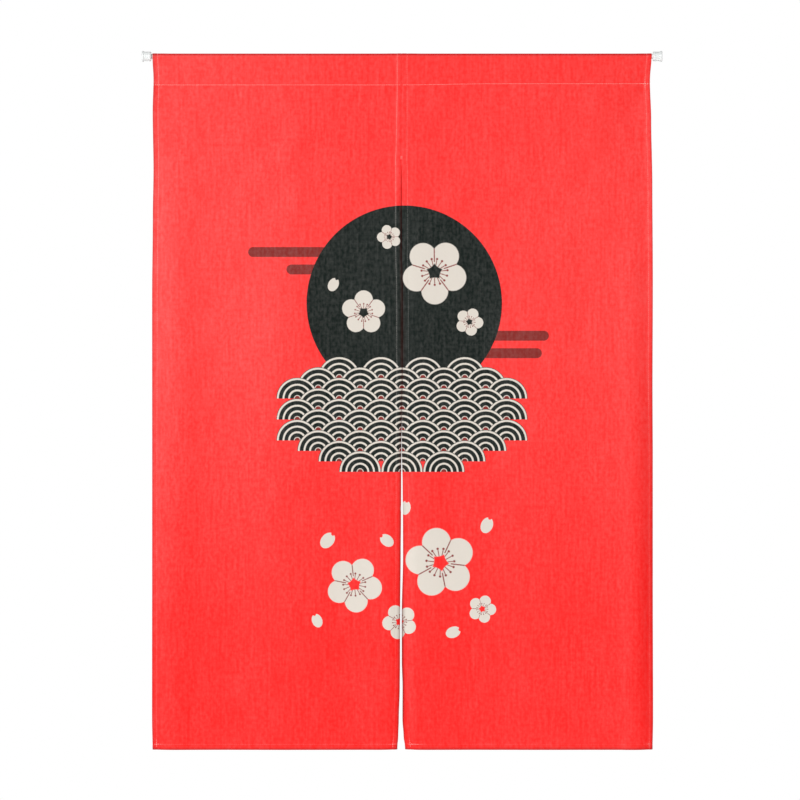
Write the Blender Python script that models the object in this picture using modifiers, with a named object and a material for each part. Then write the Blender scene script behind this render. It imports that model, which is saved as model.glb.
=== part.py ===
"""Noren curtain: two hemmed cloth panels on one rod, sewn together at the top and slit below.

Metres, +Z up. The origin is the middle of the rod's axis. +X runs along the rod to the right of
someone who faces the curtain, the front of the cloth faces -Y, and the cloth hangs down -Z.
A "drop" is a distance down the cloth from its top fold. "Across" is a distance along the rod from
its middle. "Forward" is a distance towards the viewer, from the plane that holds the rod's axis.
"""

from collections import namedtuple
from math import asin, cos, pi, radians, sin

import bmesh
import bpy
import numpy as np
from mathutils import Matrix

# ---------------------------------------------------------------- driving dimensions (metres)

CURTAIN_WIDTH = 0.861
CURTAIN_DROP = 1.197
CLOTH_THICKNESS = 0.0010
HEM_THICKNESS = 0.0016
SIDE_HEM = 0.009
BOTTOM_HEM = 0.0115
HEM_STEP = 0.0008
POCKET_DROP = 0.053

ROD_DIAMETER = 0.0080
ROD_CLEARANCE = 0.0004
CAP_DIAMETER = 0.0165
CAP_FOOT_DIAMETER = 0.0185
CAP_FOOT_LENGTH = 0.0035
CAP_LENGTH = 0.0160
CAP_END_WALL = 0.0030
CAP_ROUNDING = 0.0008
CAP_FIT = 0.0003
CAP_TO_CLOTH = 0.0010

# The cloth sits this far off the middle of the rod.
CURTAIN_CENTRE = 0.0005

# ---------------------------------------------------------------- how finely the pieces are cut

COLUMNS = 30
ROWS_BELOW_POCKET = 24
ROWS_ON_POCKET_SIDE = 2
ROWS_OVER_ROD = 10
ROD_SIDES = 24
CAP_SIDES = 32
SHARP_ANGLE = radians(40)

# ---------------------------------------------------------------- how the cloth hangs

# The outer sides run almost straight, and are drawn in a little at the pocket's stitching.
Side = namedtuple("Side", "drop drawn_in")
LEFT_SIDE = (
    Side(0.000, 0.0000),
    Side(0.050, 0.0021),
    Side(0.100, 0.0012),
    Side(0.200, 0.0022),
    Side(0.420, 0.0003),
    Side(1.100, 0.0000),
    Side(1.197, 0.0010),
)
RIGHT_SIDE = (
    Side(0.000, 0.0012),
    Side(0.050, 0.0040),
    Side(0.115, 0.0020),
    Side(0.230, 0.0002),
    Side(0.560, 0.0001),
    Side(0.850, 0.0002),
    Side(1.197, 0.0001),
)

# The panels meet at the top, lie edge to edge from the start of the slit, then part near the hem.
Slit = namedtuple("Slit", "drop left_edge right_edge")
SLIT = (
    Slit(0.000, -0.00185, -0.00155),
    Slit(0.190, -0.00185, -0.00155),
    Slit(0.450, -0.00060, 0.00010),
    Slit(0.660, -0.00140, -0.00050),
    Slit(0.750, -0.00210, 0.00045),
    Slit(1.010, -0.00400, 0.00070),
    Slit(1.140, -0.00620, 0.00110),
    Slit(1.197, -0.00790, 0.00600),
)

# Long soft folds that fade out at the pocket. Each leans from across_top to across_hem.
Flute = namedtuple("Flute", "across_top across_hem half_width mid_forward hem_forward")
FLUTES = (
    Flute(-0.386, -0.392, 0.050, 0.0022, 0.0020),
    Flute(-0.291, -0.300, 0.095, -0.0024, -0.0018),
    Flute(-0.205, -0.192, 0.085, 0.0016, 0.0018),
    Flute(-0.075, -0.090, 0.070, -0.0014, -0.0018),
    Flute(-0.006, -0.012, 0.050, 0.0004, 0.0010),
    Flute(0.030, 0.038, 0.045, 0.0006, 0.0014),
    Flute(0.125, 0.140, 0.085, -0.0014, -0.0020),
    Flute(0.245, 0.232, 0.070, 0.0010, 0.0014),
    Flute(0.322, 0.330, 0.055, -0.0010, -0.0014),
    Flute(0.400, 0.394, 0.050, 0.0014, 0.0022),
)
MID_DROP = 0.50

# Free edges roll to the back, deepest at the edge and gone at the reach. The right panel's outer
# edge leans forward high up instead, and rolls back only near the hem.
Roll = namedtuple("Roll", "reach top_back hem_back")
OUTER_ROLL = {"left": Roll(0.034, 0.0012, 0.0004), "right": Roll(0.024, -0.0010, 0.0050)}
SLIT_ROLL = {"left": Roll(0.022, 0.0000, 0.0045), "right": Roll(0.026, 0.0000, 0.0080)}
ROLL_START = POCKET_DROP + 0.08
BOTTOM_ROLL = Roll(0.045, 0.0000, 0.0030)
CORNER_LIFT = 0.0012
CORNER_REACH = 0.045

# ---------------------------------------------------------------- worked out from the above

CLOTH_RADIUS = ROD_DIAMETER / 2 + ROD_CLEARANCE + HEM_THICKNESS / 2
TOP_FOLD = CLOTH_RADIUS + CLOTH_THICKNESS / 2
POCKET_SEAM = TOP_FOLD - POCKET_DROP
LEFT_EDGE = CURTAIN_CENTRE - CURTAIN_WIDTH / 2
RIGHT_EDGE = CURTAIN_CENTRE + CURTAIN_WIDTH / 2
CAP_INNER_END = CURTAIN_WIDTH / 2 + CAP_TO_CLOTH
CAP_OUTER_END = CAP_INNER_END + CAP_LENGTH
ROD_LENGTH = 2 * (CAP_OUTER_END - CAP_END_WALL - CAP_FIT)


def eased(table, column, at):
    """A column's value at some drops, easing from each row of the table to the next."""
    drops = np.array([row.drop for row in table])
    values = np.array([getattr(row, column) for row in table])
    row = np.clip(np.searchsorted(drops, at, side="right") - 1, 0, len(drops) - 2)
    share = np.clip((at - drops[row]) / (drops[row + 1] - drops[row]), 0.0, 1.0)
    share = share * share * (3.0 - 2.0 * share)
    return values[row] + (values[row + 1] - values[row]) * share


def fade(drop, start, end):
    """Eases from 0 at the start drop to 1 at the end drop."""
    share = np.clip((drop - start) / (end - start), 0.0, 1.0)
    return share * share * (3.0 - 2.0 * share)


def near(distance, reach):
    """1 at an edge, falling along a parabola to 0 at the reach from it."""
    return np.clip(1.0 - distance / reach, 0.0, 1.0) ** 2


def panel_sides(panel, drop):
    """Left and right side of a panel, across, at each drop."""
    if panel == "left":
        return LEFT_EDGE + eased(LEFT_SIDE, "drawn_in", drop), eased(SLIT, "left_edge", drop)
    return eased(SLIT, "right_edge", drop), RIGHT_EDGE - eased(RIGHT_SIDE, "drawn_in", drop)


def folds_forward(across, drop):
    """Forward reach of the soft folds: a sum of cosine-squared ridges and troughs."""
    forward = np.zeros_like(across)
    for flute in FLUTES:
        depth = flute.mid_forward * fade(drop, POCKET_DROP, MID_DROP)
        depth += (flute.hem_forward - flute.mid_forward) * fade(drop, MID_DROP, CURTAIN_DROP)
        ridge = flute.across_top + (flute.across_hem - flute.across_top) * drop / CURTAIN_DROP
        offset = np.clip((across - ridge) / flute.half_width, -1.0, 1.0)
        forward += depth * np.cos(offset * pi / 2) ** 2
    return forward


def rolled_back(roll, from_edge, drop):
    """How far a side edge has rolled to the back."""
    depth = roll.top_back * fade(drop, POCKET_DROP, ROLL_START)
    depth += (roll.hem_back - roll.top_back) * fade(drop, ROLL_START, CURTAIN_DROP)
    return depth * near(from_edge, roll.reach)


def cloth_below_pocket(panel, across, drop):
    """Points in the middle of the cloth's thickness, below the pocket."""
    left, right = panel_sides(panel, drop)
    from_outer, from_slit = (across - left, right - across)
    if panel == "right":
        from_outer, from_slit = (from_slit, from_outer)
    from_bottom = CURTAIN_DROP - drop
    forward = folds_forward(across, drop)
    forward -= rolled_back(OUTER_ROLL[panel], from_outer, drop)
    forward -= rolled_back(SLIT_ROLL[panel], from_slit, drop)
    forward -= BOTTOM_ROLL.hem_back * near(from_bottom, BOTTOM_ROLL.reach)
    near_side = near(np.minimum(from_outer, from_slit), CORNER_REACH)
    height = TOP_FOLD - drop + CORNER_LIFT * near_side * near(from_bottom, CORNER_REACH)
    return np.stack((across, -forward, height), axis=-1)


def pocket_profile():
    """Depth and height of the cloth, from the seam up the back, over the rod and down to the seam.

    Two straight sides touch the round over the rod, like a string hung over a pin and pinched.
    """
    lean = asin(CLOTH_RADIUS / -POCKET_SEAM)
    turns = np.linspace(-lean, pi + lean, ROWS_OVER_ROD + 1)
    over_rod = [(CLOTH_RADIUS * cos(turn), CLOTH_RADIUS * sin(turn)) for turn in turns]
    last_depth, last_height = over_rod[0]
    shares = np.arange(ROWS_ON_POCKET_SIDE) / ROWS_ON_POCKET_SIDE
    back = [(last_depth * share, POCKET_SEAM + (last_height - POCKET_SEAM) * share) for share in shares]
    front = [(-depth, height) for depth, height in reversed(back)]
    return back + over_rod + front


def column_places(left, right):
    """Places across a panel: a narrow step at the edge of each side hem, even spacing between."""
    between = np.linspace(left + SIDE_HEM + HEM_STEP, right - SIDE_HEM - HEM_STEP, COLUMNS - 3)
    return np.concatenate(([left, left + SIDE_HEM], between, [right - SIDE_HEM, right]))


def row_drops():
    """Drops of the rows below the pocket, with a narrow step at the edge of the bottom hem."""
    hem_top = CURTAIN_DROP - BOTTOM_HEM
    drops = np.linspace(POCKET_DROP, hem_top - HEM_STEP, ROWS_BELOW_POCKET - 1)
    return np.concatenate((drops[1:], [hem_top, CURTAIN_DROP]))


def panel_points(panel):
    """Grid of points, row by row: round the pocket from the seam to the seam, then down."""
    grid = []
    for depth, height in pocket_profile():
        across = column_places(*panel_sides(panel, TOP_FOLD - height))
        grid.append(np.stack((across, np.full_like(across, depth), np.full_like(across, height)), axis=-1))
    for drop in row_drops():
        across = column_places(*panel_sides(panel, drop))
        grid.append(cloth_below_pocket(panel, across, np.full_like(across, drop)))
    return np.array(grid)


def hem_weights(rows):
    """Share of the hem's thickness at each grid point: 1 in a hem, less in the single cloth."""
    weights = np.full((rows, COLUMNS + 1), CLOTH_THICKNESS / HEM_THICKNESS)
    weights[:, :2] = 1.0
    weights[:, -2:] = 1.0
    weights[-2:, :] = 1.0
    return weights


def material(name, colour, roughness, metallic=0.0):
    """Principled material with the piece's colour and finish."""
    finish = bpy.data.materials.new(name)
    finish.use_nodes = True
    shader = finish.node_tree.nodes["Principled BSDF"]
    shader.inputs["Base Color"].default_value = (*colour, 1.0)
    shader.inputs["Roughness"].default_value = roughness
    shader.inputs["Metallic"].default_value = metallic
    finish.diffuse_color = (*colour, 1.0)
    return finish


def add_object(name, data, collection, finish):
    """Put a mesh or curve into the part's collection as a named piece."""
    piece = bpy.data.objects.new(name, data)
    collection.objects.link(piece)
    data.materials.append(finish)
    return piece


def make_panel(panel, collection, finish):
    """One cloth panel: a grid bent round the pocket and down the folds, then given its thickness.

    The grid's first row meets the row at the seam, where the pocket's back is sewn to its front.
    """
    points = panel_points(panel)
    rows = len(points)
    mesh = bpy.data.meshes.new(panel + "_panel")
    sheet = bmesh.new()
    bmesh.ops.create_grid(sheet, x_segments=COLUMNS, y_segments=rows - 1, size=1.0)
    weight_layer = sheet.verts.layers.deform.verify()
    weights = hem_weights(rows)
    for vert in sheet.verts:
        column = round((vert.co.x + 1.0) / 2.0 * COLUMNS)
        row = round((1.0 - vert.co.y) / 2.0 * (rows - 1))
        vert[weight_layer][0] = weights[row, column]
        vert.co = points[row, column]
    bmesh.ops.remove_doubles(sheet, verts=sheet.verts[:], dist=1e-6)
    sheet.to_mesh(mesh)
    sheet.free()
    piece = add_object(panel + "_panel", mesh, collection, finish)
    piece.vertex_groups.new(name="hem")
    solidify = piece.modifiers.new("cloth", "SOLIDIFY")
    solidify.solidify_mode = "NON_MANIFOLD"
    solidify.nonmanifold_thickness_mode = "EVEN"
    solidify.thickness = HEM_THICKNESS
    solidify.offset = 0.0
    solidify.vertex_group = "hem"
    mesh.shade_smooth()
    return piece


def make_rod(collection, finish):
    """Plain round rod along X, its ends inside the caps."""
    mesh = bpy.data.meshes.new("rod")
    bar = bmesh.new()
    bmesh.ops.create_cone(bar, cap_ends=True, segments=ROD_SIDES, depth=ROD_LENGTH,
                          radius1=ROD_DIAMETER / 2, radius2=ROD_DIAMETER / 2)
    bmesh.ops.rotate(bar, verts=bar.verts[:], matrix=Matrix.Rotation(pi / 2, 3, "Y"))
    bar.to_mesh(mesh)
    bar.free()
    mesh.shade_smooth()
    mesh.set_sharp_from_angle(angle=SHARP_ANGLE)
    return add_object("rod", mesh, collection, finish)


def cap_profile():
    """Half section of a cap, as radius and distance out from its inner end.

    It runs down the outside from the foot's flat face to the inner end, then up the socket.
    """
    bore = ROD_DIAMETER / 2 + CAP_FIT
    barrel = CAP_DIAMETER / 2
    foot = CAP_FOOT_DIAMETER / 2
    floor = CAP_LENGTH - CAP_END_WALL
    return (
        (0.0, CAP_LENGTH),
        (foot - CAP_ROUNDING, CAP_LENGTH),
        (foot, CAP_LENGTH - CAP_ROUNDING),
        (foot, CAP_LENGTH - CAP_FOOT_LENGTH + CAP_ROUNDING),
        (barrel, CAP_LENGTH - CAP_FOOT_LENGTH),
        (barrel, CAP_ROUNDING),
        (barrel - CAP_ROUNDING, 0.0),
        (bore, 0.0),
        (bore, floor),
        (0.0, floor),
    )


def make_cap(side, collection, finish):
    """Turned end cap: a short barrel with a wider foot, bored to take the rod's end."""
    profile = cap_profile()
    mesh = bpy.data.meshes.new("rod_cap_" + side)
    mesh.from_pydata([(radius, 0.0, out) for radius, out in profile],
                     [(step, step + 1) for step in range(len(profile) - 1)], [])
    piece = add_object("rod_cap_" + side, mesh, collection, finish)
    outwards = 1 if side == "right" else -1
    piece.location.x = outwards * CAP_INNER_END
    piece.rotation_euler.y = outwards * pi / 2
    turning = piece.modifiers.new("turned", "SCREW")
    turning.steps = CAP_SIDES
    turning.render_steps = CAP_SIDES
    turning.use_merge_vertices = True
    turning.merge_threshold = 0.00001
    return piece


def main():
    """Clear the scene and make the curtain."""
    for leftover in list(bpy.data.objects):
        bpy.data.objects.remove(leftover)
    collection = bpy.data.collections.new("noren_curtain")
    bpy.context.scene.collection.children.link(collection)
    red_cloth = material("red_cloth", (0.94, 0.065, 0.058), 0.9)
    rod_white = material("rod_white", (0.86, 0.86, 0.85), 0.4)
    cap_white = material("cap_white", (0.84, 0.85, 0.84), 0.5)
    for panel in ("left", "right"):
        make_panel(panel, collection, red_cloth)
    make_rod(collection, rod_white)
    for side in ("left", "right"):
        make_cap(side, collection, cap_white)


main()
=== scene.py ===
"""Noren curtain: the printed cloth, its sewing and its rod, finished around the solids.

Metres, +Z up, in the solids' own frame: the origin is the middle of the rod's axis, +X runs along
the rod to the right of someone who faces the curtain, and the front of the cloth faces -Y.
A "drop" is a distance down the cloth from its top fold. "Across" is a distance along the rod from
its middle. "Forward" is a distance towards the viewer. A panel's cloth is one long strip: it starts
at the sewn end of the pocket's back, goes up the back, over the rod and down the front to the hem.
"""

from collections import namedtuple
from functools import partial
from math import cos, hypot, pi, radians, sin

import bpy
import numpy as np
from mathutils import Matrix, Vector


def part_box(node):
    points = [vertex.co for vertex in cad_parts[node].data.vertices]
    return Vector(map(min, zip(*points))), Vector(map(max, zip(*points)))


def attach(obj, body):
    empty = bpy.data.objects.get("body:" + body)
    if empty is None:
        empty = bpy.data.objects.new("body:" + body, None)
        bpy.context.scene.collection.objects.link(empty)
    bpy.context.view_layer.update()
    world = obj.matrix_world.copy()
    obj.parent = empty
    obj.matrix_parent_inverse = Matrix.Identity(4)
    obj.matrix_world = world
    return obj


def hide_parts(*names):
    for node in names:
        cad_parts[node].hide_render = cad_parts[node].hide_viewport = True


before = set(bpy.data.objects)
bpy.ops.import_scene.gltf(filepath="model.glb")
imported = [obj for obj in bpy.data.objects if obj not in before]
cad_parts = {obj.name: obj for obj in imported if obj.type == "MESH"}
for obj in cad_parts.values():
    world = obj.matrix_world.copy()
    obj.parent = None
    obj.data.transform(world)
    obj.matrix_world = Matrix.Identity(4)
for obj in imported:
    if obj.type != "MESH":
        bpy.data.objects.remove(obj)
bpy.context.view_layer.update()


def table(columns, *rows):
    """Rows of numbers, with a name for each column."""
    named_row = namedtuple("Row", columns)
    return [named_row(*row) for row in rows]


# ---------------------------------------------------------------- sizes of the cloth and its sewing

CURTAIN_WIDTH = 0.861
CURTAIN_CENTRE = 0.0005
CURTAIN_DROP = 1.1988
TOP_FOLD = 0.0056
POCKET_DROP = 0.0545
POCKET_SEAM = TOP_FOLD - POCKET_DROP
ROD_RADIUS = (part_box("rod")[1].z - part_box("rod")[0].z) / 2
ROD_CONTACT = 0.0003

# The pocket's stitching climbs a little from the slit towards the right.
SEAM_CLIMB = 0.0020
CLIMB_TO = 0.16
CLIMB_FADED = 0.30

CLOTH = 0.0007
HEM = 0.0014
TURNED_UNDER = 0.0012
LAYER_GAP = 0.0001
FLAP_BELOW_SEAM = 0.0030
FLAP_TURN = 0.0100
HEM_BEYOND_STITCHES = 0.0013
HEM_STEP = 0.0007
BOTTOM_STITCHES = 0.0100

# The hems are pressed flatter over the rod. The first pair is drops, the second distances from a side.
HEM_OVER_ROD = 0.0009
FULL_HEM_DROPS = (0.008, 0.020)
HEM_FELT_TO = (0.0125, 0.035)

# Distance of the side hems' stitches from the panels' sides, uneven as the hems were folded.
FOUR_SIDES = "drop left_outer left_slit right_slit right_outer"
STITCHES_IN = table(
    FOUR_SIDES,
    (0.050, 0.0090, 0.0078, 0.0095, 0.0086),
    (0.120, 0.0088, 0.0088, 0.0094, 0.0084),
    (0.220, 0.0087, 0.0114, 0.0090, 0.0080),
    (0.460, 0.0086, 0.0114, 0.0092, 0.0075),
    (0.750, 0.0078, 0.0092, 0.0100, 0.0066),
    (1.100, 0.0070, 0.0086, 0.0098, 0.0062),
)
GROOVE_DEPTH, GROOVE_WIDTH = 0.00022, 0.00045
SWELL_HEIGHT, SWELL_WIDTH = 0.00014, 0.0025
DIP_DEPTH, DIP_WIDTH, DIP_BEYOND = 0.00010, 0.0012, 0.0030

# ---------------------------------------------------------------- how the cloth hangs

# The outer sides run almost straight, and are drawn in a little at the pocket's stitching.
LEFT_SIDE = table(
    "drop drawn_in",
    (0.000, 0.0005), (0.045, 0.0026), (0.100, 0.0011), (0.200, 0.0025), (0.280, 0.0013),
    (0.420, 0.0001), (0.700, 0.0002), (1.140, 0.0001), (1.197, 0.0009),
)
RIGHT_SIDE = table(
    "drop drawn_in",
    (0.000, 0.0013), (0.050, 0.0045), (0.115, 0.0024), (0.230, 0.0004), (0.400, -0.0005),
    (0.560, -0.0001), (0.700, -0.0007), (0.920, -0.0008), (1.140, -0.0012), (1.197, -0.0004),
)

# The panels are sewn edge to edge above the slit, and press a little into each other there. Below,
# the left one's edge curls back and slips a little way behind the right one's. Lower still they
# part, and the gap is widest at the hem.
SLIT = table(
    "drop left_edge right_edge left_curl right_curl",
    (0.182, -0.0006, -0.0010, 0.0000, 0.0000),
    (0.212, 0.0006, 0.0000, 0.0020, 0.0000),
    (0.345, 0.0006, 0.0000, 0.0022, 0.0000),
    (0.400, 0.0022, 0.0016, 0.0022, 0.0000),
    (0.550, 0.0022, 0.0016, 0.0022, 0.0000),
    (0.610, 0.0007, 0.0001, 0.0022, 0.0000),
    (0.680, -0.0005, -0.0005, 0.0018, 0.0002),
    (0.742, -0.0010, 0.0008, 0.0010, 0.0004),
    (0.802, -0.0013, 0.0013, 0.0009, 0.0006),
    (0.860, -0.0018, 0.0014, 0.0008, 0.0008),
    (0.970, -0.0028, -0.0009, 0.0007, 0.0011),
    (1.045, -0.0030, -0.0008, 0.0007, 0.0012),
    (1.090, -0.0034, 0.0005, 0.0007, 0.0013),
    (1.146, -0.0051, 0.0003, 0.0006, 0.0012),
    (1.174, -0.0060, 0.0022, 0.0006, 0.0012),
    (1.197, -0.0076, 0.0049, 0.0005, 0.0010),
)
CURL_REACH = 0.0034
JOINED_TO = 0.182
SLIT_FROM = 0.205

# Long soft folds that fade out at the pocket. Each leans from across_top to across_hem.
FLUTES = table(
    "across_top across_hem half_width mid_forward hem_forward",
    (-0.387, -0.392, 0.046, 0.0029, 0.0023),
    (-0.291, -0.300, 0.095, -0.0023, -0.0014),
    (-0.205, -0.192, 0.085, 0.0015, 0.0014),
    (-0.075, -0.090, 0.070, -0.0013, -0.0014),
    (-0.006, -0.012, 0.050, 0.0004, 0.0008),
    (0.030, 0.038, 0.045, 0.0006, 0.0010),
    (0.125, 0.140, 0.085, -0.0012, -0.0016),
    (0.245, 0.232, 0.070, 0.0009, 0.0011),
    (0.322, 0.330, 0.055, -0.0009, -0.0011),
    (0.394, 0.402, 0.032, 0.0017, 0.0032),
)
MID_DROP = 0.50

# The free sides roll to the back: deepest at the edge, and gone at the reach. The right panel's
# outer side leans forward instead until a little over a third of the way down.
ROLLS = table(
    FOUR_SIDES,
    (0.054, 0.0000, 0.0000, 0.0000, 0.0000),
    (0.130, 0.0008, 0.0000, 0.0000, -0.0010),
    (0.300, 0.0012, 0.0008, 0.0006, -0.0014),
    (0.450, 0.0012, 0.0014, 0.0011, 0.0000),
    (0.650, 0.0016, 0.0021, 0.0018, 0.0028),
    (0.900, 0.0014, 0.0030, 0.0048, 0.0042),
    (1.050, 0.0000, 0.0037, 0.0064, 0.0034),
    (1.197, -0.0006, 0.0042, 0.0076, 0.0024),
)
ROLL_REACH = {"left_outer": 0.034, "left_slit": 0.022, "right_slit": 0.026, "right_outer": 0.024}
BOTTOM_TURNS = table("reach back", (0.045, 0.0024), (0.0075, 0.0010))
CORNER_LIFT = 0.0007
CORNER_REACH = 0.045

# Creases given one by one, each along a line between two points of the cloth. A trough goes back.
# Each grows and fades between two shares of its length.
CREASES = table(
    "across drop across_end drop_end width forward",
    (-0.422, 1.085, -0.404, 1.165, 0.010, -0.0011),
    (-0.398, 1.060, -0.380, 1.150, 0.014, 0.0009),
    (0.418, 1.015, 0.404, 1.150, 0.012, -0.0012),
    (0.424, 1.150, 0.429, 1.190, 0.008, 0.0009),
    (-0.424, 0.062, -0.385, 0.125, 0.012, -0.0008),
    (0.420, 0.062, 0.380, 0.120, 0.012, -0.0009),
    (-0.010, 1.120, -0.030, 1.185, 0.012, -0.0009),
    (0.012, 1.100, 0.024, 1.185, 0.012, 0.0010),
    (0.330, 0.085, 0.345, 0.300, 0.016, 0.0006),
    (-0.180, 0.075, -0.172, 0.260, 0.018, 0.0006),
    (0.090, 0.078, 0.080, 0.200, 0.014, -0.0005),
)
CREASE_GROWS = (-0.2, 0.3)
CREASE_FADES = (0.7, 1.2)

# Small ripples beside the seams: each has a depth, periods that don't repeat together, and a width.
Pucker = namedtuple("Pucker", "depth periods width")
POCKET_PUCKER = Pucker(0.00045, (0.0173, 0.0289, 0.0467), 0.009)
ON_POCKET_PUCKER = POCKET_PUCKER._replace(width=0.006)
OUTER_PUCKER = Pucker(0.00040, (0.0267, 0.0431, 0.0710), 0.014)
SLIT_PUCKER = Pucker(0.00050, (0.0301, 0.0523, 0.0838), 0.014)
BOTTOM_PUCKER = Pucker(0.00050, (0.0223, 0.0389, 0.0617), 0.016)
PUCKERED_BELOW, PUCKERED_ABOVE = 0.004, 0.008
SLIT_SHIFT, ON_POCKET_SHIFT = 0.013, 0.009
WAVE_OFFSET = 2.4

# A faint crumple: pairs of slow ripples, each along its own direction, that cross at a slant.
Wave = namedtuple("Wave", "depth periods across down")
CRUMPLE = (
    (Wave(0.0005, (0.071, 0.103), 0.94, 0.34), Wave(1.0, (0.173, 0.262), -0.3, 1.0)),
    (Wave(0.00035, (0.058, 0.094), 0.88, -0.47), Wave(1.0, (0.142, 0.231), 0.4, 1.0)),
)
CRUMPLED_BELOW = 0.12

# Shade painted along each folded edge, as if its turned edge were in shadow: how deep it is, and how far it
# reaches into the cloth.
PAINTED_EDGE_SHADE = table(
    FOUR_SIDES,
    (0.000, 0.38, 0.00, 0.00, 0.12),
    (0.182, 0.38, 0.06, 0.00, 0.16),
    (0.260, 0.36, 0.40, 0.00, 0.20),
    (0.640, 0.36, 0.50, 0.12, 0.24),
    (0.900, 0.34, 0.60, 0.56, 0.24),
    (0.980, 0.34, 0.50, 1.00, 0.22),
    (1.120, 0.34, 0.50, 0.94, 0.22),
    (1.197, 0.36, 0.34, 0.34, 0.34),
)
PAINTED_EDGE_SHADE_REACH = {"left_outer": 0.0095, "left_slit": 0.0076, "right_slit": 0.0088, "right_outer": 0.0070}
# Shade painted along the bottom fold, and in a narrow band just below the top fold.
BOTTOM_PAINTED_SHADE, BOTTOM_PAINTED_SHADE_REACH = 0.58, 0.0082
TOP_PAINTED_SHADE, TOP_PAINTED_SHADE_AT, TOP_PAINTED_SHADE_WIDTH = 0.30, 0.0050, 0.0015

# How much paler the cloth is, mixed towards undyed fibre, in a soft band along each side hem's stitches.
PALER_AT_STITCHES = table(FOUR_SIDES, (0.300, 0.026, 0.030, 0.016, 0.018), (1.000, 0.012, 0.004, 0.000, 0.016))
PALER_BAND_WIDTH = 0.0014

# ---------------------------------------------------------------- how finely the cloth is cut

# Places of rows and columns in a hem, as shares of the way from its edge to its stitches.
HEM_SHARES = (0.0, 0.04, 0.11, 0.25, 0.42, 0.61, 0.77, 0.88, 0.95, 1.0, 1.05, 1.12, 1.20, 1.28, 1.44, 1.72)
AT_STITCHES = HEM_SHARES.index(1.0)
SEAM_STEPS = (0.0004, 0.0008, 0.0013, 0.0020, 0.0032, 0.0050, 0.0075)
FLAP_DROPS = (0.0024, 0.0018, 0.0011, 0.0004)
COLUMNS_BETWEEN = 104
ROWS_HANGING = 250
ROWS_OVER_ROD = 9
ROWS_ON_POCKET_SIDE = 11
WAY_OVER_ROD, WAY_DOWN_SIDE = 0.19, 0.85
RIM_TURNS = (radians(36), radians(72), radians(108), radians(144))
END_TURNS = (radians(30), radians(60), radians(84))
JOINED_SQUARENESS = 0.35


def fade(value, start, end):
    """Eases from 0 at the start to 1 at the end."""
    share = np.clip((value - start) / (end - start), 0.0, 1.0)
    return share * share * (3.0 - 2.0 * share)


def eased(rows, column, at):
    """A column's value at some drops, easing from each row of its table to the next."""
    drops, values = (np.array([getattr(row, name) for row in rows]) for name in ("drop", column))
    row = np.clip(np.searchsorted(drops, at, side="right") - 1, 0, len(drops) - 2)
    return values[row] + (values[row + 1] - values[row]) * fade(at, drops[row], drops[row + 1])


def near(distance, reach):
    """1 at an edge, falling along a parabola to 0 at the reach from it."""
    return np.clip(1.0 - distance / reach, 0.0, 1.0) ** 2


def bell(offset, width):
    """Bell curve: 1 at offset 0, with the width as its standard deviation."""
    return np.exp(-0.5 * (offset / width) ** 2)


def ripple(kind, along):
    """Uneven ripple: the mean of sines of several periods, each with its own start, times the depth."""
    turns = enumerate(2 * pi * along / period for period in kind.periods)
    waves = [np.sin(angle + WAVE_OFFSET * number) for number, angle in turns]
    return kind.depth * sum(waves) / len(waves)


def unit(vectors):
    """The vectors at length 1."""
    return vectors / np.linalg.norm(vectors, axis=-1, keepdims=True)


def panel_sides(panel, drop):
    """Left and right side of a panel, across, at each drop."""
    if panel == "left":
        left_edge = CURTAIN_CENTRE - CURTAIN_WIDTH / 2
        return left_edge + eased(LEFT_SIDE, "drawn_in", drop), eased(SLIT, "left_edge", drop)
    right_edge = CURTAIN_CENTRE + CURTAIN_WIDTH / 2
    return eased(SLIT, "right_edge", drop), right_edge - eased(RIGHT_SIDE, "drawn_in", drop)


def from_edges(panel, across, drop):
    """Distances from a panel's outer side and from its slit side."""
    left, right = panel_sides(panel, drop)
    return (across - left, right - across) if panel == "left" else (right - across, across - left)


def folds_forward(across, drop):
    """Forward reach of the soft folds: a sum of cosine-squared ridges and troughs."""
    forward = np.zeros_like(across)
    for flute in FLUTES:
        depth = flute.mid_forward * fade(drop, POCKET_DROP, MID_DROP)
        depth += (flute.hem_forward - flute.mid_forward) * fade(drop, MID_DROP, CURTAIN_DROP)
        ridge = flute.across_top + (flute.across_hem - flute.across_top) * drop / CURTAIN_DROP
        offset = np.clip((across - ridge) / flute.half_width, -1.0, 1.0)
        forward += depth * np.cos(offset * pi / 2) ** 2
    return forward


def rolled_back(panel, from_outer, from_slit, drop):
    """How far the sides of a panel have turned back: its two rolls, and the curl of its slit's edge.

    Each is deepest at its edge and falls along a parabola to nothing at its reach.
    """
    outer, slit = panel + "_outer", panel + "_slit"
    back = eased(ROLLS, outer, drop) * near(from_outer, ROLL_REACH[outer])
    back += eased(ROLLS, slit, drop) * near(from_slit, ROLL_REACH[slit])
    return back + eased(SLIT, panel + "_curl", drop) * near(from_slit, CURL_REACH)


def seam_climb(across):
    """How much higher than at the left the pocket's stitching runs."""
    return SEAM_CLIMB * fade(across, 0.0, CLIMB_TO)


def creases_forward(across, drop):
    """Forward reach of the creases: a bell across each crease's line, fading past its two ends."""
    forward = np.zeros_like(across)
    for crease in CREASES:
        run_across = crease.across_end - crease.across
        run_down = crease.drop_end - crease.drop
        length = hypot(run_across, run_down)
        past_across, past_down = across - crease.across, drop - crease.drop
        share = (past_across * run_across + past_down * run_down) / length**2
        aside = (past_across * run_down - past_down * run_across) / length
        lasting = fade(share, *CREASE_GROWS) * (1.0 - fade(share, *CREASE_FADES))
        forward += crease.forward * bell(aside, crease.width) * lasting
    return forward


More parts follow.
